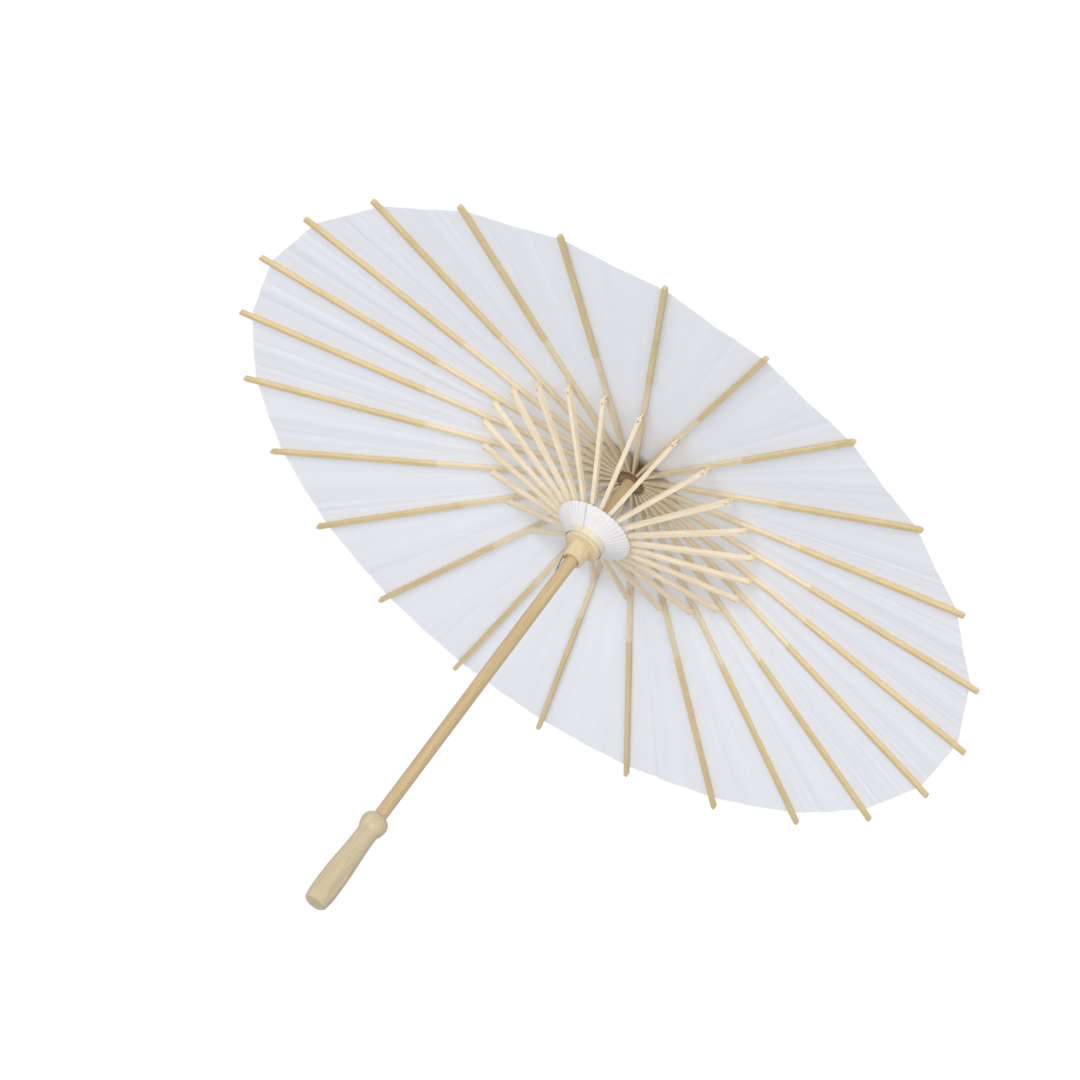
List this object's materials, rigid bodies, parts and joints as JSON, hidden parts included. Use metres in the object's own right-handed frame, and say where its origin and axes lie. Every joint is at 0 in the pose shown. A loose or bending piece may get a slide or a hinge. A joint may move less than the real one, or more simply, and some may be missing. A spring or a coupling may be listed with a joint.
{
  "type": "oil paper umbrella",
  "caption": "Open oil paper umbrella: bamboo ribs and stretchers on a wooden shaft, white paper canopy, sliding runner, latch spring and turned handle.",
  "frame": {"origin": "centre of the handle's flat end face", "axes": "+Z along the shaft from the handle to the head cap; +X towards rib_01"},
  "size_m": [0.84, 0.84, 0.6],
  "materials": {
    "rib_bamboo": "split bamboo, dry, fine straight fibres",
    "stretcher_bamboo": "pale split bamboo, planed",
    "shaft_wood": "round dowel, light oil",
    "handle_wood": "turned pale wood, fine satin",
    "runner_wood": "turned pale wood, satin",
    "notch_wood": "brown stained wood, matt",
    "steel_wire": "plain wire",
    "latch_steel": "dark spring wire",
    "oiled_paper": "white oiled paper, slightly translucent",
    "cap_paper": "white paper, matt",
    "collar_paper": "white pleated paper",
    "tie_thread": "cotton thread"
  },
  "bodies": {
    "umbrella_shaft": {"shaft": "shaft_wood", "handle": "handle_wood", "top_notch": "notch_wood", "hub_wire": "steel_wire", "canopy": "oiled_paper", "head_cap": "cap_paper", "cap_petals": "cap_paper", "cap_tie": "tie_thread"},
    "rib_01": {"rib_01": "rib_bamboo"},
    "stretcher_01": {"stretcher_01": "stretcher_bamboo"},
    "rib_02": {"rib_02": "rib_bamboo"},
    "stretcher_02": {"stretcher_02": "stretcher_bamboo"},
    "rib_03": {"rib_03": "rib_bamboo"},
    "stretcher_03": {"stretcher_03": "stretcher_bamboo"},
    "rib_04": {"rib_04": "rib_bamboo"},
    "stretcher_04": {"stretcher_04": "stretcher_bamboo"},
    "rib_05": {"rib_05": "rib_bamboo"},
    "stretcher_05": {"stretcher_05": "stretcher_bamboo"},
    "rib_06": {"rib_06": "rib_bamboo"},
    "stretcher_06": {"stretcher_06": "stretcher_bamboo"},
    "rib_07": {"rib_07": "rib_bamboo"},
    "stretcher_07": {"stretcher_07": "stretcher_bamboo"},
    "rib_08": {"rib_08": "rib_bamboo"},
    "stretcher_08": {"stretcher_08": "stretcher_bamboo"},
    "rib_09": {"rib_09": "rib_bamboo"},
    "stretcher_09": {"stretcher_09": "stretcher_bamboo"},
    "rib_10": {"rib_10": "rib_bamboo"},
    "stretcher_10": {"stretcher_10": "stretcher_bamboo"},
    "rib_11": {"rib_11": "rib_bamboo"},
    "stretcher_11": {"stretcher_11": "stretcher_bamboo"},
    "rib_12": {"rib_12": "rib_bamboo"},
    "stretcher_12": {"stretcher_12": "stretcher_bamboo"},
    "rib_13": {"rib_13": "rib_bamboo"},
    "stretcher_13": {"stretcher_13": "stretcher_bamboo"},
    "rib_14": {"rib_14": "rib_bamboo"},
    "stretcher_14": {"stretcher_14": "stretcher_bamboo"},
    "rib_15": {"rib_15": "rib_bamboo"},
    "stretcher_15": {"stretcher_15": "stretcher_bamboo"},
    "rib_16": {"rib_16": "rib_bamboo"},
    "stretcher_16": {"stretcher_16": "stretcher_bamboo"},
    "rib_17": {"rib_17": "rib_bamboo"},
    "stretcher_17": {"stretcher_17": "stretcher_bamboo"},
    "rib_18": {"rib_18": "rib_bamboo"},
    "stretcher_18": {"stretcher_18": "stretcher_bamboo"},
    "rib_19": {"rib_19": "rib_bamboo"},
    "stretcher_19": {"stretcher_19": "stretcher_bamboo"},
    "rib_20": {"rib_20": "rib_bamboo"},
    "stretcher_20": {"stretcher_20": "stretcher_bamboo"},
    "rib_21": {"rib_21": "rib_bamboo"},
    "stretcher_21": {"stretcher_21": "stretcher_bamboo"},
    "rib_22": {"rib_22": "rib_bamboo"},
    "stretcher_22": {"stretcher_22": "stretcher_bamboo"},
    "rib_23": {"rib_23": "rib_bamboo"},
    "stretcher_23": {"stretcher_23": "stretcher_bamboo"},
    "rib_24": {"rib_24": "rib_bamboo"},
    "stretcher_24": {"stretcher_24": "stretcher_bamboo"},
    "runner": {"runner": "runner_wood", "runner_wire": "steel_wire", "runner_collar": "collar_paper"},
    "latch": {"latch_spring": "latch_steel"}
  },
  "joints": [
    {"name": "canopy_fold", "type": "hinge", "parent": "umbrella_shaft", "child": "rib_01", "pos_m": [0.0185, 0, 0.5664], "axis": [0, 1, 0], "range_deg": [0, 73.3], "deforming": ["canopy", "cap_petals", "runner_collar", "latch_spring"]},
    {"name": "rib_02_fold", "type": "hinge", "parent": "umbrella_shaft", "child": "rib_02", "pos_m": [0.01787, 0.00479, 0.5664], "axis": [-0.2588, 0.9659, 0], "range_deg": [0, 74]},
    {"name": "rib_03_fold", "type": "hinge", "parent": "umbrella_shaft", "child": "rib_03", "pos_m": [0.01602, 0.00925, 0.5664], "axis": [-0.5, 0.866, 0], "range_deg": [0, 74]},
    {"name": "rib_04_fold", "type": "hinge", "parent": "umbrella_shaft", "child": "rib_04", "pos_m": [0.01308, 0.01308, 0.5664], "axis": [-0.7071, 0.7071, 0], "range_deg": [0, 74]},
    {"name": "rib_05_fold", "type": "hinge", "parent": "umbrella_shaft", "child": "rib_05", "pos_m": [0.00925, 0.01602, 0.5664], "axis": [-0.866, 0.5, 0], "range_deg": [0, 74]},
    {"name": "rib_06_fold", "type": "hinge", "parent": "umbrella_shaft", "child": "rib_06", "pos_m": [0.00479, 0.01787, 0.5664], "axis": [-0.9659, 0.2588, 0], "range_deg": [0, 74]},
    {"name": "rib_07_fold", "type": "hinge", "parent": "umbrella_shaft", "child": "rib_07", "pos_m": [0, 0.0185, 0.5664], "axis": [-1, 0, 0], "range_deg": [0, 74]},
    {"name": "rib_08_fold", "type": "hinge", "parent": "umbrella_shaft", "child": "rib_08", "pos_m": [-0.00479, 0.01787, 0.5664], "axis": [-0.9659, -0.2588, 0], "range_deg": [0, 74]},
    {"name": "rib_09_fold", "type": "hinge", "parent": "umbrella_shaft", "child": "rib_09", "pos_m": [-0.00925, 0.01602, 0.5664], "axis": [-0.866, -0.5, 0], "range_deg": [0, 74]},
    {"name": "rib_10_fold", "type": "hinge", "parent": "umbrella_shaft", "child": "rib_10", "pos_m": [-0.01308, 0.01308, 0.5664], "axis": [-0.7071, -0.7071, 0], "range_deg": [0, 74]},
    {"name": "rib_11_fold", "type": "hinge", "parent": "umbrella_shaft", "child": "rib_11", "pos_m": [-0.01602, 0.00925, 0.5664], "axis": [-0.5, -0.866, 0], "range_deg": [0, 74]},
    {"name": "rib_12_fold", "type": "hinge", "parent": "umbrella_shaft", "child": "rib_12", "pos_m": [-0.01787, 0.00479, 0.5664], "axis": [-0.2588, -0.9659, 0], "range_deg": [0, 74]},
    {"name": "rib_13_fold", "type": "hinge", "parent": "umbrella_shaft", "child": "rib_13", "pos_m": [-0.0185, 0, 0.5664], "axis": [0, -1, 0], "range_deg": [0, 74]},
    {"name": "rib_14_fold", "type": "hinge", "parent": "umbrella_shaft", "child": "rib_14", "pos_m": [-0.01787, -0.00479, 0.5664], "axis": [0.2588, -0.9659, 0], "range_deg": [0, 74]},
    {"name": "rib_15_fold", "type": "hinge", "parent": "umbrella_shaft", "child": "rib_15", "pos_m": [-0.01602, -0.00925, 0.5664], "axis": [0.5, -0.866, 0], "range_deg": [0, 74]},
    {"name": "rib_16_fold", "type": "hinge", "parent": "umbrella_shaft", "child": "rib_16", "pos_m": [-0.01308, -0.01308, 0.5664], "axis": [0.7071, -0.7071, 0], "range_deg": [0, 74]},
    {"name": "rib_17_fold", "type": "hinge", "parent": "umbrella_shaft", "child": "rib_17", "pos_m": [-0.00925, -0.01602, 0.5664], "axis": [0.866, -0.5, 0], "range_deg": [0, 74]},
    {"name": "rib_18_fold", "type": "hinge", "parent": "umbrella_shaft", "child": "rib_18", "pos_m": [-0.00479, -0.01787, 0.5664], "axis": [0.9659, -0.2588, 0], "range_deg": [0, 74]},
    {"name": "rib_19_fold", "type": "hinge", "parent": "umbrella_shaft", "child": "rib_19", "pos_m": [0, -0.0185, 0.5664], "axis": [1, 0, 0], "range_deg": [0, 74]},
    {"name": "rib_20_fold", "type": "hinge", "parent": "umbrella_shaft", "child": "rib_20", "pos_m": [0.00479, -0.01787, 0.5664], "axis": [0.9659, 0.2588, 0], "range_deg": [0, 74]},
    {"name": "rib_21_fold", "type": "hinge", "parent": "umbrella_shaft", "child": "rib_21", "pos_m": [0.00925, -0.01602, 0.5664], "axis": [0.866, 0.5, 0], "range_deg": [0, 74]},
    {"name": "rib_22_fold", "type": "hinge", "parent": "umbrella_shaft", "child": "rib_22", "pos_m": [0.01308, -0.01308, 0.5664], "axis": [0.7071, 0.7071, 0], "range_deg": [0, 74]},
    {"name": "rib_23_fold", "type": "hinge", "parent": "umbrella_shaft", "child": "rib_23", "pos_m": [0.01602, -0.00925, 0.5664], "axis": [0.5, 0.866, 0], "range_deg": [0, 74]},
    {"name": "rib_24_fold", "type": "hinge", "parent": "umbrella_shaft", "child": "rib_24", "pos_m": [0.01787, -0.00479, 0.5664], "axis": [0.2588, 0.9659, 0], "range_deg": [0, 74]},
    {"name": "stretcher_01_fold", "type": "hinge", "parent": "rib_01", "child": "stretcher_01", "pos_m": [0.153, 0, 0.53222], "axis": [0, -1, 0], "range_deg": [0, 148]},
    {"name": "stretcher_02_fold", "type": "hinge", "parent": "rib_02", "child": "stretcher_02", "pos_m": [0.14779, 0.0396, 0.53222], "axis": [0.2588, -0.9659, 0], "range_deg": [0, 148]},
    {"name": "stretcher_03_fold", "type": "hinge", "parent": "rib_03", "child": "stretcher_03", "pos_m": [0.1325, 0.0765, 0.53222], "axis": [0.5, -0.866, 0], "range_deg": [0, 148]},
    {"name": "stretcher_04_fold", "type": "hinge", "parent": "rib_04", "child": "stretcher_04", "pos_m": [0.10819, 0.10819, 0.53222], "axis": [0.7071, -0.7071, 0], "range_deg": [0, 148]},
    {"name": "stretcher_05_fold", "type": "hinge", "parent": "rib_05", "child": "stretcher_05", "pos_m": [0.0765, 0.1325, 0.53222], "axis": [0.866, -0.5, 0], "range_deg": [0, 148]},
    {"name": "stretcher_06_fold", "type": "hinge", "parent": "rib_06", "child": "stretcher_06", "pos_m": [0.0396, 0.14779, 0.53222], "axis": [0.9659, -0.2588, 0], "range_deg": [0, 148]},
    {"name": "stretcher_07_fold", "type": "hinge", "parent": "rib_07", "child": "stretcher_07", "pos_m": [0, 0.153, 0.53222], "axis": [1, 0, 0], "range_deg": [0, 148]},
    {"name": "stretcher_08_fold", "type": "hinge", "parent": "rib_08", "child": "stretcher_08", "pos_m": [-0.0396, 0.14779, 0.53222], "axis": [0.9659, 0.2588, 0], "range_deg": [0, 148]},
    {"name": "stretcher_09_fold", "type": "hinge", "parent": "rib_09", "child": "stretcher_09", "pos_m": [-0.0765, 0.1325, 0.53222], "axis": [0.866, 0.5, 0], "range_deg": [0, 148]},
    {"name": "stretcher_10_fold", "type": "hinge", "parent": "rib_10", "child": "stretcher_10", "pos_m": [-0.10819, 0.10819, 0.53222], "axis": [0.7071, 0.7071, 0], "range_deg": [0, 148]},
    {"name": "stretcher_11_fold", "type": "hinge", "parent": "rib_11", "child": "stretcher_11", "pos_m": [-0.1325, 0.0765, 0.53222], "axis": [0.5, 0.866, 0], "range_deg": [0, 148]},
    {"name": "stretcher_12_fold", "type": "hinge", "parent": "rib_12", "child": "stretcher_12", "pos_m": [-0.14779, 0.0396, 0.53222], "axis": [0.2588, 0.9659, 0], "range_deg": [0, 148]},
    {"name": "stretcher_13_fold", "type": "hinge", "parent": "rib_13", "child": "stretcher_13", "pos_m": [-0.153, 0, 0.53222], "axis": [0, 1, 0], "range_deg": [0, 148]},
    {"name": "stretcher_14_fold", "type": "hinge", "parent": "rib_14", "child": "stretcher_14", "pos_m": [-0.14779, -0.0396, 0.53222], "axis": [-0.2588, 0.9659, 0], "range_deg": [0, 148]},
    {"name": "stretcher_15_fold", "type": "hinge", "parent": "rib_15", "child": "stretcher_15", "pos_m": [-0.1325, -0.0765, 0.53222], "axis": [-0.5, 0.866, 0], "range_deg": [0, 148]},
    {"name": "stretcher_16_fold", "type": "hinge", "parent": "rib_16", "child": "stretcher_16", "pos_m": [-0.10819, -0.10819, 0.53222], "axis": [-0.7071, 0.7071, 0], "range_deg": [0, 148]},
    {"name": "stretcher_17_fold", "type": "hinge", "parent": "rib_17", "child": "stretcher_17", "pos_m": [-0.0765, -0.1325, 0.53222], "axis": [-0.866, 0.5, 0], "range_deg": [0, 148]},
    {"name": "stretcher_18_fold", "type": "hinge", "parent": "rib_18", "child": "stretcher_18", "pos_m": [-0.0396, -0.14779, 0.53222], "axis": [-0.9659, 0.2588, 0], "range_deg": [0, 148]},
    {"name": "stretcher_19_fold", "type": "hinge", "parent": "rib_19", "child": "stretcher_19", "pos_m": [0, -0.153, 0.53222], "axis": [-1, 0, 0], "range_deg": [0, 148]},
    {"name": "stretcher_20_fold", "type": "hinge", "parent": "rib_20", "child": "stretcher_20", "pos_m": [0.0396, -0.14779, 0.53222], "axis": [-0.9659, -0.2588, 0], "range_deg": [0, 148]},
    {"name": "stretcher_21_fold", "type": "hinge", "parent": "rib_21", "child": "stretcher_21", "pos_m": [0.0765, -0.1325, 0.53222], "axis": [-0.866, -0.5, 0], "range_deg": [0, 148]},
    {"name": "stretcher_22_fold", "type": "hinge", "parent": "rib_22", "child": "stretcher_22", "pos_m": [0.10819, -0.10819, 0.53222], "axis": [-0.7071, -0.7071, 0], "range_deg": [0, 148]},
    {"name": "stretcher_23_fold", "type": "hinge", "parent": "rib_23", "child": "stretcher_23", "pos_m": [0.1325, -0.0765, 0.53222], "axis": [-0.5, -0.866, 0], "range_deg": [0, 148]},
    {"name": "stretcher_24_fold", "type": "hinge", "parent": "rib_24", "child": "stretcher_24", "pos_m": [0.14779, -0.0396, 0.53222], "axis": [-0.2588, -0.9659, 0], "range_deg": [0, 148]},
    {"name": "runner_link", "type": "hinge", "parent": "stretcher_01", "child": "runner", "pos_m": [0.0185, 0, 0.49805], "axis": [0, 1, 0], "range_deg": [0, 74]},
    {"name": "latch_press", "type": "hinge", "parent": "umbrella_shaft", "child": "latch", "pos_m": [0.0039, -0.00225, 0.42075], "axis": [-0.5, -0.866, 0], "range_deg": [0, 8], "stiffness_Nm_per_rad": 0.02}
  ],
  "couplings": [
    {"joint": "rib_02_fold", "follows": "canopy_fold", "ratio": 1},
    {"joint": "rib_03_fold", "follows": "canopy_fold", "ratio": 1},
    {"joint": "rib_04_fold", "follows": "canopy_fold", "ratio": 1},
    {"joint": "rib_05_fold", "follows": "canopy_fold", "ratio": 1},
    {"joint": "rib_06_fold", "follows": "canopy_fold", "ratio": 1},
    {"joint": "rib_07_fold", "follows": "canopy_fold", "ratio": 1},
    {"joint": "rib_08_fold", "follows": "canopy_fold", "ratio": 1},
    {"joint": "rib_09_fold", "follows": "canopy_fold", "ratio": 1},
    {"joint": "rib_10_fold", "follows": "canopy_fold", "ratio": 1},
    {"joint": "rib_11_fold", "follows": "canopy_fold", "ratio": 1},
    {"joint": "rib_12_fold", "follows": "canopy_fold", "ratio": 1},
    {"joint": "rib_13_fold", "follows": "canopy_fold", "ratio": 1},
    {"joint": "rib_14_fold", "follows": "canopy_fold", "ratio": 1},
    {"joint": "rib_15_fold", "follows": "canopy_fold", "ratio": 1},
    {"joint": "rib_16_fold", "follows": "canopy_fold", "ratio": 1},
    {"joint": "rib_17_fold", "follows": "canopy_fold", "ratio": 1},
    {"joint": "rib_18_fold", "follows": "canopy_fold", "ratio": 1},
    {"joint": "rib_19_fold", "follows": "canopy_fold", "ratio": 1},
    {"joint": "rib_20_fold", "follows": "canopy_fold", "ratio": 1},
    {"joint": "rib_21_fold", "follows": "canopy_fold", "ratio": 1},
    {"joint": "rib_22_fold", "follows": "canopy_fold", "ratio": 1},
    {"joint": "rib_23_fold", "follows": "canopy_fold", "ratio": 1},
    {"joint": "rib_24_fold", "follows": "canopy_fold", "ratio": 1},
    {"joint": "stretcher_01_fold", "follows": "canopy_fold", "ratio": 2},
    {"joint": "stretcher_02_fold", "follows": "canopy_fold", "ratio": 2},
    {"joint": "stretcher_03_fold", "follows": "canopy_fold", "ratio": 2},
    {"joint": "stretcher_04_fold", "follows": "canopy_fold", "ratio": 2},
    {"joint": "stretcher_05_fold", "follows": "canopy_fold", "ratio": 2},
    {"joint": "stretcher_06_fold", "follows": "canopy_fold", "ratio": 2},
    {"joint": "stretcher_07_fold", "follows": "canopy_fold", "ratio": 2},
    {"joint": "stretcher_08_fold", "follows": "canopy_fold", "ratio": 2},
    {"joint": "stretcher_09_fold", "follows": "canopy_fold", "ratio": 2},
    {"joint": "stretcher_10_fold", "follows": "canopy_fold", "ratio": 2},
    {"joint": "stretcher_11_fold", "follows": "canopy_fold", "ratio": 2},
    {"joint": "stretcher_12_fold", "follows": "canopy_fold", "ratio": 2},
    {"joint": "stretcher_13_fold", "follows": "canopy_fold", "ratio": 2},
    {"joint": "stretcher_14_fold", "follows": "canopy_fold", "ratio": 2},
    {"joint": "stretcher_15_fold", "follows": "canopy_fold", "ratio": 2},
    {"joint": "stretcher_16_fold", "follows": "canopy_fold", "ratio": 2},
    {"joint": "stretcher_17_fold", "follows": "canopy_fold", "ratio": 2},
    {"joint": "stretcher_18_fold", "follows": "canopy_fold", "ratio": 2},
    {"joint": "stretcher_19_fold", "follows": "canopy_fold", "ratio": 2},
    {"joint": "stretcher_20_fold", "follows": "canopy_fold", "ratio": 2},
    {"joint": "stretcher_21_fold", "follows": "canopy_fold", "ratio": 2},
    {"joint": "stretcher_22_fold", "follows": "canopy_fold", "ratio": 2},
    {"joint": "stretcher_23_fold", "follows": "canopy_fold", "ratio": 2},
    {"joint": "stretcher_24_fold", "follows": "canopy_fold", "ratio": 2},
    {"joint": "runner_link", "follows": "canopy_fold", "ratio": 1}
  ]
}
